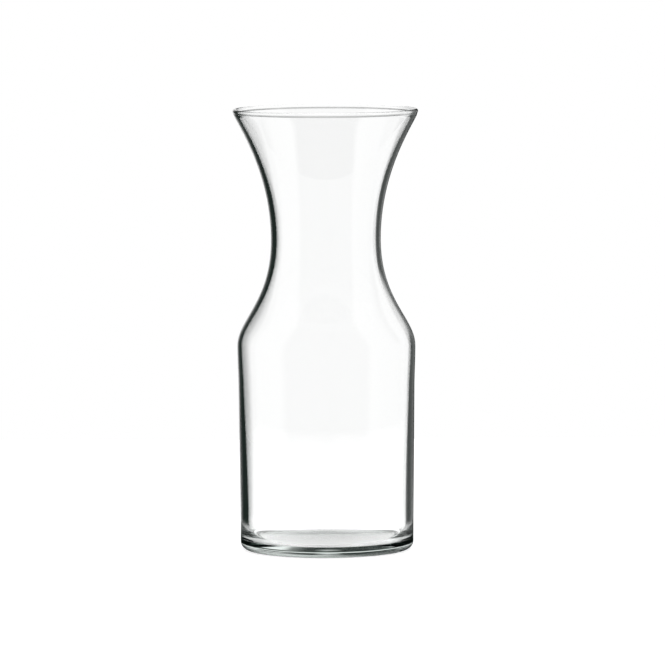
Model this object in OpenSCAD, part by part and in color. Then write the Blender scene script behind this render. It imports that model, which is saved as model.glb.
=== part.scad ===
// Water carafe of clear glass, blown in one piece.
// The wall is one closed profile turned about the Z axis. Z = 0 is the table that it stands on.

/* [Body] */
// Outside diameter at the foot of the body wall
base_d = 100; // [92:0.5:106]
// Outside diameter at the top of the straight wall, where the shoulder begins to swell
wall_d = 101.8; // [94:0.2:106]
// Widest outside diameter, at the turn of the shoulder
shoulder_d = 103; // [96:0.5:112]
// Height of the turn of the shoulder above the table
body_h = 118; // [80:1:170]
// Height of the swell below the turn of the shoulder
swell_h = 23.5; // [12:0.5:36]

/* [Shoulder and neck] */
// Rise from the turn of the shoulder to the waist of the neck
throat_rise = 61.5; // [52:0.5:90]
// Outside diameter of the waist
waist_d = 63.5; // [48:0.5:80]
// Length over which the shoulder lets go of the upright
shoulder_reach = 15.5; // [8:0.5:24]
// Length over which the throat settles into the waist
throat_reach = 35.5; // [18:0.5:42]

/* [Flare and rim] */
// Rise from the waist to the top of the rim
flare_rise = 75.5; // [56:0.5:100]
// Outside diameter of the rim
rim_d = 107; // [84:0.5:124]
// Length over which the waist opens into the flare
waist_reach = 41; // [24:0.5:46]
// Length over which the flare turns up into the rim
rim_reach = 4; // [1:0.5:12]
// Lean of the rim from upright, in degrees
rim_lean = 7.5; // [0:0.5:30]
// Thickness of the rounded bead that the flame leaves on the rim
bead_d = 2.9; // [2.6:0.1:4]
// Radius that blends the bead into the wall on each side
bead_blend_r = 2; // [0.5:0.1:5]

/* [Glass thickness] */
// Wall where it rises from the inner heel, its thickest
heel_wall = 4.6; // [3:0.1:6]
// Wall at the turn of the shoulder, blown out thinnest
shoulder_wall = 2.5; // [1.8:0.1:4]
// Wall at the waist of the neck
waist_wall = 3.4; // [2:0.1:5]
// Wall just under the bead
rim_wall = 2.3; // [1.6:0.1:2.5]
// Height of the inside floor above the table
floor_h = 6; // [4.5:0.1:10]

/* [Foot] */
// Radius of the outer heel, from the bearing ring to the wall
heel_r = 4.7; // [2:0.1:8]
// Width of the flat bearing ring
ring_w = 2.5; // [1.5:0.1:6]
// Depth of the punt pushed up inside the bearing ring
punt_h = 1.4; // [0.8:0.1:3.5]
// Width of the slope from the bearing ring to the top of the punt
punt_slope_w = 2.5; // [1.5:0.5:18]
// Height of the inner heel, from the floor to the wall
inner_heel_h = 10; // [6:0.5:36]
// Width of the inner heel, from the wall to the flat of the floor
inner_heel_w = 3.8; // [3:0.1:14]

/* [Hidden] */

// Steps in each long sweep of the wall, in each small round, and in the pale preview's turn
sweep_steps = 20;
round_steps = 6;
turn_fn = 120;

// Shares of a curve's length at which its handles lie
swell_handle_share = 1 / 3;
heel_handle_share = 0.7;
punt_handle_share = 0.5;

base_r = base_d / 2;
wall_r = wall_d / 2;
shoulder_r = shoulder_d / 2;
waist_r = waist_d / 2;
bead_r = bead_d / 2;
swell_z = body_h - swell_h;
waist_z = body_h + throat_rise;
rim_z = waist_z + flare_rise;
heel_top_z = floor_h + inner_heel_h;

function lerp(a, b, t) = a + (b - a) * t;
function ease(t) = t * t * (3 - 2 * t);
function between(x, a, b) = max(0, min(1, (x - a) / (b - a)));
function reversed(list) = [for (i = [len(list) - 1:-1:0]) list[i]];

// A point at the share t of a cubic curve with the handles p, and the curve's direction there
function on_curve(p, t) =
    pow(1 - t, 3) * p[0] + 3 * pow(1 - t, 2) * t * p[1] + 3 * (1 - t) * t * t * p[2] + pow(t, 3) * p[3];
function direction(p, t) =
    let (d = pow(1 - t, 2) * (p[1] - p[0]) + 2 * (1 - t) * t * (p[2] - p[1]) + t * t * (p[3] - p[2]))
    d / norm(d);

function curve(p, steps) = [for (i = [0:steps]) on_curve(p, i / steps)];
function arc(centre, r, a, b, steps) =
    [for (i = [0:steps]) let (angle = lerp(a, b, i / steps)) centre + r * [cos(angle), sin(angle)]];

// One outline from pieces of which each starts where the one before ends
function joined(pieces) =
    [for (k = [0:len(pieces) - 1]) for (i = [(k == 0 ? 0 : 1):len(pieces[k]) - 1]) pieces[k][i]];

// The foot: outer heel, flat bearing ring and punt
ring_outer_r = base_r - heel_r;
ring_inner_r = ring_outer_r - ring_w;
taper = atan((wall_r - base_r) / (swell_z - heel_r));
outer_heel = arc([ring_outer_r, heel_r], heel_r, -90, -taper, round_steps);
punt_curve = [
    [ring_inner_r - punt_slope_w, punt_h],
    [ring_inner_r - punt_slope_w * punt_handle_share, punt_h],
    [ring_inner_r - punt_slope_w * punt_handle_share, 0],
    [ring_inner_r, 0]];

// The outer face of the wall, from the outer heel up to the bead
wall_foot = outer_heel[round_steps];
wall_top = [wall_r, swell_z];
wall_dir = (wall_top - wall_foot) / norm(wall_top - wall_foot);
swell_handle = swell_h * swell_handle_share;
swell_curve = [
    wall_top,
    wall_top + swell_handle * wall_dir,
    [shoulder_r, body_h - swell_handle],
    [shoulder_r, body_h]];
throat_curve = [
    [shoulder_r, body_h],
    [shoulder_r, body_h + shoulder_reach],
    [waist_r, waist_z - throat_reach],
    [waist_r, waist_z]];

// The bead is a round on the end of the wall, blended into each of its faces.
// Its outline is drawn across and along the wall, from the middle of the round.
blend_out = rim_wall / 2 + bead_blend_r;
blend_drop = sqrt(pow(bead_r + bead_blend_r, 2) - pow(blend_out, 2));
blend_angle = atan(blend_drop / blend_out);
across = [cos(rim_lean), -sin(rim_lean)];
along = [sin(rim_lean), cos(rim_lean)];
bead_centre = [rim_d / 2 - bead_r, rim_z - bead_r];
outer_blend = arc([blend_out, -blend_drop], bead_blend_r, 180, 180 - blend_angle, round_steps);
inner_blend = [for (p = reversed(outer_blend)) [-p[0], p[1]]];
bead_round = arc([0, 0], bead_r, -blend_angle, 180 + blend_angle, 3 * round_steps);
bead = [for (p = joined([outer_blend, bead_round, inner_blend])) bead_centre + p[0] * across + p[1] * along];
flare_curve = [
    [waist_r, waist_z],
    [waist_r, waist_z + waist_reach],
    bead[0] - rim_reach * along,
    bead[0]];

// The inner face lies one wall thickness inside the outer face, square to it.
// The glass is thickest over the heel, blown thin at the shoulder, and thicker again at the waist.
function wall_at(z) =
    z < body_h ? lerp(heel_wall, shoulder_wall, ease(between(z, heel_top_z, body_h)))
    : z < waist_z ? lerp(shoulder_wall, waist_wall, ease(between(z, body_h, waist_z)))
    : lerp(waist_wall, rim_wall, ease(between(z, waist_z, bead[0][1])));
function inner_face(p) =
    [for (i = [0:sweep_steps])
        let (point = on_curve(p, i / sweep_steps), d = direction(p, i / sweep_steps))
        point + wall_at(point[1]) * [-d[1], d[0]]];

// The straight wall above the inner heel, which then runs down and in to the flat of the floor
wall_start = lerp(wall_foot, wall_top, between(heel_top_z, wall_foot[1], swell_z));
wall_curve = [wall_start, lerp(wall_start, wall_top, 1 / 3), lerp(wall_start, wall_top, 2 / 3), wall_top];
inner_wall = inner_face(wall_curve);
floor_r = inner_wall[0][0] - inner_heel_w;
inner_heel_curve = [
    inner_wall[0],
    inner_wall[0] - inner_heel_h * heel_handle_share * wall_dir,
    [floor_r + inner_heel_w * (1 - heel_handle_share), floor_h],
    [floor_r, floor_h]];

profile = joined([
    outer_heel,
    [wall_foot, wall_top],
    curve(swell_curve, sweep_steps),
    curve(throat_curve, sweep_steps),
    curve(flare_curve, sweep_steps),
    bead,
    reversed(inner_face(flare_curve)),
    reversed(inner_face(throat_curve)),
    reversed(inner_face(swell_curve)),
    reversed(inner_wall),
    curve(inner_heel_curve, round_steps * 2),
    [[floor_r, floor_h], [0, floor_h]],
    [[0, floor_h], [0, punt_h]],
    [[0, punt_h], [ring_inner_r - punt_slope_w, punt_h]],
    curve(punt_curve, round_steps * 2)]);

module carafe_glass() {
    color([0.86, 0.92, 0.9, 0.4]) rotate_extrude($fn = turn_fn) polygon(profile);
}

carafe_glass();
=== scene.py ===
import math

import bpy
import numpy as np
from mathutils import Matrix, Vector


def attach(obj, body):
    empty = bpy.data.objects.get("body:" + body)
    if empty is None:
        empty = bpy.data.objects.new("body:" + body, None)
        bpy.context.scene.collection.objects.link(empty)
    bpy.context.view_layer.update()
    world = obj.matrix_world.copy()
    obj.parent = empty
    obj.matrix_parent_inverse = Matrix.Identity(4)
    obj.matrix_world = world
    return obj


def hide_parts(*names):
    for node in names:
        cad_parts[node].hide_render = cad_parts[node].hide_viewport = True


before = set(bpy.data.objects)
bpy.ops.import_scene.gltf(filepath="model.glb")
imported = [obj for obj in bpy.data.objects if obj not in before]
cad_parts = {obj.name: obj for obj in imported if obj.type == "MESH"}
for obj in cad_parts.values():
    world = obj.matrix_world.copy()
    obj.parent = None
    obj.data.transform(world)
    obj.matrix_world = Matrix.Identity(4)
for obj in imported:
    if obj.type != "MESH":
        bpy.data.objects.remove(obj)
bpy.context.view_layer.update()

# The glass piece and its mesh. Lengths are in metres. CAD points closer than SAME_RING are on one ring, and a ring
# closer than STRAIGHT to the line between its neighbours makes no turn. From one ring to the next, the finer
# profile takes steps of FINE_STEP, but no fewer and no more of them than these two counts.
NODE = "carafe_glass"
SEGMENTS = 200
SAME_RING = 2e-6
STRAIGHT = 1.5e-6
FINE_STEP = 0.002
FEWEST_STEPS = 2
MOST_STEPS = 5

# The glass: its index of refraction, and the tint that it takes on in depth
GLASS_INDEX = 1.52
GLASS_TINT = (0.5, 0.75, 0.65, 1)
GLASS_DENSITY = 3

# The camera, above and in front of the carafe, and the height on the carafe that it looks at
CAMERA_BACK = 3.514
CAMERA_UP = 0.4356
AIM_UP = 0.1255
CAMERA_SIDE = 0.00364
CAMERA_ROLL = 0.25
IMAGE_WIDTH = 665
FOCAL_PIXELS = 6106
SENSOR = 36
CLIP_NEAR = 0.05
CLIP_FAR = 100

# How often light may bounce, which clear glass with two faces needs plenty of
MOST_BOUNCES = 32
MOST_MIRRORINGS = 16
MOST_CROSSINGS = 24

# The studio. The table gives out a little light of its own, and somewhat more to rays that entered the glass,
# painted light in place of the light that the glass lets through onto the table.
WHITE = (1, 1, 1, 1)
# Painted shade: the dark that only rays from the glass see, in the world's gaps and on the table near the foot
PAINTED_SHADE_COLOUR = (0.0137, 0.0203, 0.0176, 1)
FLOOR_COLOUR = (0.8, 0.8, 0.8, 1)
FLOOR_SIZE = 1.2
FLOOR_GAP = 0.00005
FLOOR_LIFT = 0.5
FLOOR_LIFT_INSIDE = 0.6

# How far from the middle the table is seen, fading from the first distance to the second, by rays that passed
# through the glass, by rays that also bounced in it, and by rays mirrored on its outside, to which it shows
# painted shade, dark near the foot
STRAIGHT_REACH = (0.15, 0.5)
INNER_REACH = (0, 0.14)
PAINTED_SHADE_REACH = (0.08, 0.16)

# A ray that bounced in the glass stayed in one wall if it crossed a face no more than WALL_CROSSINGS times, and is
# spent if it bounced more than WALL_BOUNCES times there. After more crossings it is deep: it met another wall too.
WALL_CROSSINGS = 2
WALL_BOUNCES = 3

# How light the world is to each kind of ray from the glass: white, with dark gaps that draw the glass's edges.
# The gaps are painted shade and painted reflection, set apart for each kind of ray, so that the camera and the
# table see only white. Each mark is an angle in degrees and how light the world is there. For THROUGH, the rays
# that only passed through the glass, the angle is the height above level. For the others it is the turn to the
# right from straight behind the carafe.
THROUGH = [(7, 1), (8.5, 0), (12.5, 0), (14, 0.9), (18, 1), (23, 0)]
MIRRORED = [(-66, 1), (-61, 0), (-36, 0), (-24, 0.1), (-18, 0.5), (-13, 1), (1, 1), (6, 0), (13, 0), (19, 0.3),
            (42, 0.3), (49, 1)]
WALL = [(-125, 0), (-115, 1), (-74, 1), (-66, 0.6), (-54, 0.5), (-50, 0), (-7, 0), (-4, 0.55), (0, 0.95), (3, 0.5),
        (6, 0), (39, 0), (42, 0.85), (58, 1), (62, 0.8), (95, 0.8), (115, 1), (125, 0)]
WALL_UP = [(-125, 0), (-115, 1), (-74, 1), (-66, 0.6), (-46, 0.6), (-42, 0), (9, 0), (18, 0.25), (21, 0.7), (24, 1),
           (58, 1), (62, 0.4), (66, 0.2), (80, 0.8), (115, 1), (125, 0)]
WALL_RISE = (4, 14)
SPENT = [(-12, 0), (0, 0.6), (12, 1), (30, 1), (60, 0.1)]
SPENT_RISE = (-5, 5)
DEEP_DOWN = [(-20, 1), (-10, 0), (-4, 0), (0, 1), (5, 0), (28, 0), (45, 1)]
DEEP_UP = [(-10, 1), (-4, 0.4), (5, 0.4), (10, 0.8), (15, 1)]


def ring_at(found, radius, height):
    """The number of the ring at this radius and height, which is a new one if none is there yet."""
    cell = (round(radius / SAME_RING), round(height / SAME_RING))
    for across in (0, -1, 1):
        for up in (0, -1, 1):
            near = (cell[0] + across, cell[1] + up)
            if near in found:
                return found[near]
    found[cell] = len(found)
    return found[cell]


def cad_rings(node):
    """The rings of a turned CAD node as radius and height, from its inside floor over the rim to its underside."""
    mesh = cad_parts[node].data
    found, points, number = {}, {}, []
    for vertex in mesh.vertices:
        radius, height = math.hypot(vertex.co.x, vertex.co.y), vertex.co.z
        number.append(ring_at(found, radius, height))
        points.setdefault(number[-1], (radius, height))
    beside = {ring: set() for ring in points}
    for edge in mesh.edges:
        a, b = (number[v] for v in edge.vertices)
        if a != b:
            beside[a].add(b)
            beside[b].add(a)
    ends = [ring for ring in beside if len(beside[ring]) == 1]
    walk = [max(ends, key=lambda ring: points[ring][1])]
    seen = set(walk)
    while True:
        onward = [ring for ring in beside[walk[-1]] if ring not in seen]
        if not onward:
            break
        walk.append(onward[0])
        seen.add(onward[0])
    return np.array([points[ring] for ring in walk])


def off_line(points):
    """How far each point lies from the line between its neighbours."""
    before, after = points[:-2], points[2:]
    along = after - before
    out = points[1:-1] - before
    cross = along[:, 0] * out[:, 1] - along[:, 1] * out[:, 0]
    return np.concatenate([[1], np.abs(cross) / np.hypot(along[:, 0], along[:, 1]), [1]])


def without_chord_points(points):
    """Drops each point that lies on the chord between two turning points of a curve."""
    turns = off_line(points) > STRAIGHT
    keep = turns.copy()
    keep[1:-1] |= ~(turns[:-2] & turns[2:])
    return points[keep]


def smoothed(points):
    """The same profile with a smooth cubic curve through its points, in finer steps."""
    span = np.hypot(*(points[1:] - points[:-1]).T)
    slope = (points[1:] - points[:-1]) / span[:, None]
    tangent = np.empty_like(points)
    share = (span[:-1] / (span[1:] + span[:-1]))[:, None]
    tangent[1:-1] = slope[:-1] * share + slope[1:] * (1 - share)
    tangent[0], tangent[-1] = slope[0], slope[-1]
    fine = [points[:1]]
    for k, length in enumerate(span):
        steps = min(MOST_STEPS, max(FEWEST_STEPS, math.ceil(length / FINE_STEP)))
        t = (np.arange(1, steps + 1) / steps)[:, None]
        fine.append(
            points[k] * (2 * t**3 - 3 * t**2 + 1)
            + points[k + 1] * (3 * t**2 - 2 * t**3)
            + length * tangent[k] * (t**3 - 2 * t**2 + t)
            + length * tangent[k + 1] * (t**3 - t**2)
        )
    return np.maximum(np.concatenate(fine), 0)


def turned(name, profile):
    """A closed mesh that turns the profile about the Z axis. The profile's two ends are closed with flat discs."""
    turn = np.arange(SEGMENTS) * 2 * math.pi / SEGMENTS
    around = np.stack([np.cos(turn), np.sin(turn)], axis=1)
    rings = len(profile)
    verts = np.empty((rings, SEGMENTS, 3))
    verts[:, :, :2] = profile[:, None, :1] * around[None]
    verts[:, :, 2] = profile[:, 1:2]
    faces = []
    for k in range(rings - 1):
        for i in range(SEGMENTS):
            j = (i + 1) % SEGMENTS
            faces.append((k * SEGMENTS + i, (k + 1) * SEGMENTS + i, (k + 1) * SEGMENTS + j, k * SEGMENTS + j))
    first, last = rings * SEGMENTS, rings * SEGMENTS + 1
    for i in range(SEGMENTS):
        j = (i + 1) % SEGMENTS
        faces.append((first, i, j))
        faces.append((last, (rings - 1) * SEGMENTS + j, (rings - 1) * SEGMENTS + i))
    poles = [(0, 0, profile[0, 1]), (0, 0, profile[-1, 1])]
    mesh = bpy.data.meshes.new(name)
    mesh.from_pydata([tuple(v) for v in verts.reshape(-1, 3)] + poles, [], faces)
    mesh.validate()
    mesh.shade_smooth()
    piece = bpy.data.objects.new(name, mesh)
    bpy.context.scene.collection.objects.link(piece)
    return piece


def clear_glass():
    """Clear soda-lime glass, a little green in the depth."""
    material = bpy.data.materials.new("clear_glass")
    material.use_nodes = True
    nodes, links = material.node_tree.nodes, material.node_tree.links
    shader = nodes["Principled BSDF"]
    shader.inputs["Base Color"].default_value = WHITE
    shader.inputs["Roughness"].default_value = 0
    shader.inputs["IOR"].default_value = GLASS_INDEX
    shader.inputs["Transmission Weight"].default_value = 1
    depth = nodes.new("ShaderNodeVolumeAbsorption")
    depth.inputs["Color"].default_value = GLASS_TINT
    depth.inputs["Density"].default_value = GLASS_DENSITY
    links.new(depth.outputs["Volume"], nodes["Material Output"].inputs["Volume"])
    return material


def make_camera():
    """The camera at the photograph's angle."""
    data = bpy.data.cameras.new("camera")
    data.sensor_width = SENSOR
    data.lens = FOCAL_PIXELS / IMAGE_WIDTH * SENSOR
    data.clip_start = CLIP_NEAR
    data.clip_end = CLIP_FAR
    camera = bpy.data.objects.new("camera", data)
    bpy.context.scene.collection.objects.link(camera)
    place = Vector((CAMERA_SIDE, -CAMERA_BACK, CAMERA_UP))
    aim = Vector((CAMERA_SIDE, 0, AIM_UP))
    turn = (aim - place).to_track_quat("-Z", "Y").to_matrix().to_4x4()
    roll = Matrix.Rotation(math.radians(-CAMERA_ROLL), 4, "Z")
    camera.matrix_world = Matrix.Translation(place) @ turn @ roll
    bpy.context.scene.camera = camera


def step(tree, kind, first, second):
    """A Math node. Each side is a socket or a number."""
    node = tree.nodes.new("ShaderNodeMath")
    node.operation = kind
    for socket, value in zip(node.inputs, (first, second)):
        if isinstance(value, (int, float)):
            socket.default_value = value
        else:
            tree.links.new(value, socket)
    return node.outputs[0]


def blend(tree, share, first, second):
    """The value first where share is 0, and second where it is 1. Each is a socket or a number."""
    node = tree.nodes.new("ShaderNodeMix")
    node.data_type = "FLOAT"
    for socket, value in zip(node.inputs[:4], (share, None, first, second)):
        if isinstance(value, (int, float)):
            socket.default_value = value
        elif value is not None:
            tree.links.new(value, socket)
    return node.outputs[0]


def more_than(tree, path, depth, count):
    """1 where the ray's depth of this name is more than count, and 0 elsewhere."""
    return step(tree, "GREATER_THAN", path.outputs[depth], count + 0.5)


def ramp(tree, value, low, high):
    """0 at low and 1 at high, with an even rise between."""
    node = tree.nodes.new("ShaderNodeMapRange")
    node.inputs["From Min"].default_value = low
    node.inputs["From Max"].default_value = high
    tree.links.new(value, node.inputs["Value"])
    return node.outputs["Result"]


def stops(tree, angle, marks):
    """The level at an angle in degrees, read from marks, each an angle from -180 to 180 and the level there."""
    node = tree.nodes.new("ShaderNodeValToRGB")
    places = node.color_ramp.elements
    while len(places) > 1:
        places.remove(places[-1])
    for number, (degrees, level) in enumerate(marks):
        place = (degrees + 180) / 360
        mark = places[0] if number == 0 else places.new(place)
        mark.position = place
        mark.color = (level, level, level, 1)
    tree.links.new(ramp(tree, angle, -180, 180), node.inputs[0])
    return node.outputs["Color"]


def mixed(tree, share, first, second):
    """The shader first where share is 0, and second where it is 1."""
    node = tree.nodes.new("ShaderNodeMixShader")
    for socket, value in zip(node.inputs, (share, first, second)):
        tree.links.new(value, socket)
    return node.outputs[0]


def make_floor():
    """A plain pale floor, a hair below the glass so that the two faces don't fall together. In the glass it shows
    as a table of limited reach, and rays mirrored on the glass's outside see painted shade on it near the foot."""
    half = FLOOR_SIZE / 2
    corners = [(-half, -half), (half, -half), (half, half), (-half, half)]
    mesh = bpy.data.meshes.new("floor")
    mesh.from_pydata([(x, y, -FLOOR_GAP) for x, y in corners], [], [(0, 1, 2, 3)])
    floor = bpy.data.objects.new("floor", mesh)
    bpy.context.scene.collection.objects.link(floor)
    material = bpy.data.materials.new("floor")
    material.use_nodes = True
    tree = material.node_tree
    tree.nodes.clear()
    paint = tree.nodes.new("ShaderNodeBsdfDiffuse")
    paint.inputs["Color"].default_value = FLOOR_COLOUR
    lift = tree.nodes.new("ShaderNodeEmission")
    lit = tree.nodes.new("ShaderNodeAddShader")
    tree.links.new(paint.outputs[0], lit.inputs[0])
    tree.links.new(lift.outputs[0], lit.inputs[1])
    clear = tree.nodes.new("ShaderNodeBsdfTransparent")
    # Painted shade: a dark glow on the table near the foot, seen only by rays mirrored on the glass's outside
    dark = tree.nodes.new("ShaderNodeEmission")
    dark.inputs["Color"].default_value = PAINTED_SHADE_COLOUR
    place = tree.nodes.new("ShaderNodeNewGeometry")
    away = tree.nodes.new("ShaderNodeVectorMath")
    away.operation = "LENGTH"
    tree.links.new(place.outputs["Position"], away.inputs[0])
    away = away.outputs["Value"]
    path = tree.nodes.new("ShaderNodeLightPath")
    bounced = more_than(tree, path, "Glossy Depth", 0)
    entered = more_than(tree, path, "Transmission Depth", 0)
    tree.links.new(blend(tree, entered, FLOOR_LIFT, FLOOR_LIFT_INSIDE), lift.inputs["Strength"])
    # Rays mirrored on the glass's outside see the painted shade near the foot, and the world beyond it
    shade = mixed(tree, ramp(tree, away, *PAINTED_SHADE_REACH), dark.outputs[0], clear.outputs[0])
    outside = mixed(tree, bounced, lit.outputs[0], shade)
    fade = blend(tree, bounced, ramp(tree, away, *STRAIGHT_REACH), ramp(tree, away, *INNER_REACH))
    inside = mixed(tree, fade, lit.outputs[0], clear.outputs[0])
    out = tree.nodes.new("ShaderNodeOutputMaterial")
    tree.links.new(mixed(tree, entered, outside, inside), out.inputs["Surface"])
    mesh.materials.append(material)


def make_world():
    """A white studio. What the glass mirrors and bends into view also has dark gaps, painted shade that draws its
    edges, and which gaps a ray sees hangs on how it went through the glass.
    """
    world = bpy.data.worlds.new("studio")
    bpy.context.scene.world = world
    world.use_nodes = True
    tree = world.node_tree
    tree.nodes.clear()
    path = tree.nodes.new("ShaderNodeLightPath")
    bounced = more_than(tree, path, "Glossy Depth", 0)
    entered = more_than(tree, path, "Transmission Depth", 0)
    deep = more_than(tree, path, "Transmission Depth", WALL_CROSSINGS)
    spent = more_than(tree, path, "Glossy Depth", WALL_BOUNCES)
    place = tree.nodes.new("ShaderNodeTexCoord")
    axes = tree.nodes.new("ShaderNodeSeparateXYZ")
    tree.links.new(place.outputs["Generated"], axes.inputs[0])
    side = step(tree, "MULTIPLY", step(tree, "ARCTAN2", axes.outputs["X"], axes.outputs["Y"]), math.degrees(1))
    rise = step(tree, "MULTIPLY", step(tree, "ARCSINE", axes.outputs["Z"], 0), math.degrees(1))
    up = ramp(tree, rise, *WALL_RISE)
    in_wall = blend(tree, up, stops(tree, side, WALL), stops(tree, side, WALL_UP))
    when_spent = step(tree, "MULTIPLY", ramp(tree, rise, *SPENT_RISE), stops(tree, side, SPENT))
    in_wall = blend(tree, spent, in_wall, when_spent)
    above = step(tree, "GREATER_THAN", rise, 0)
    when_deep = blend(tree, above, stops(tree, side, DEEP_DOWN), stops(tree, side, DEEP_UP))
    inside = blend(tree, deep, in_wall, when_deep)
    turned_back = blend(tree, entered, stops(tree, side, MIRRORED), inside)
    through = blend(tree, entered, 1, stops(tree, rise, THROUGH))
    by_glass = blend(tree, bounced, through, turned_back)
    # Rays that scattered on the table, which light it, see no gaps
    level = blend(tree, path.outputs["Is Singular Ray"], 1, by_glass)
    # Painted shade: the dark of the gaps, seen only by rays from the glass, which draws its edges
    dark = tree.nodes.new("ShaderNodeBackground")
    dark.inputs["Color"].default_value = PAINTED_SHADE_COLOUR
    white = tree.nodes.new("ShaderNodeBackground")
    white.inputs["Color"].default_value = WHITE
    out = tree.nodes.new("ShaderNodeOutputWorld")
    tree.links.new(mixed(tree, level, dark.outputs[0], white.outputs[0]), out.inputs["Surface"])


bpy.context.scene.view_settings.view_transform = "Standard"
bpy.context.scene.cycles.max_bounces = MOST_BOUNCES
bpy.context.scene.cycles.glossy_bounces = MOST_MIRRORINGS
bpy.context.scene.cycles.transmission_bounces = MOST_CROSSINGS
make_camera()
make_world()
make_floor()

glass = turned("glass_body", smoothed(without_chord_points(cad_rings(NODE))))
glass.data.materials.append(clear_glass())
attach(glass, "root")
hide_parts(NODE)
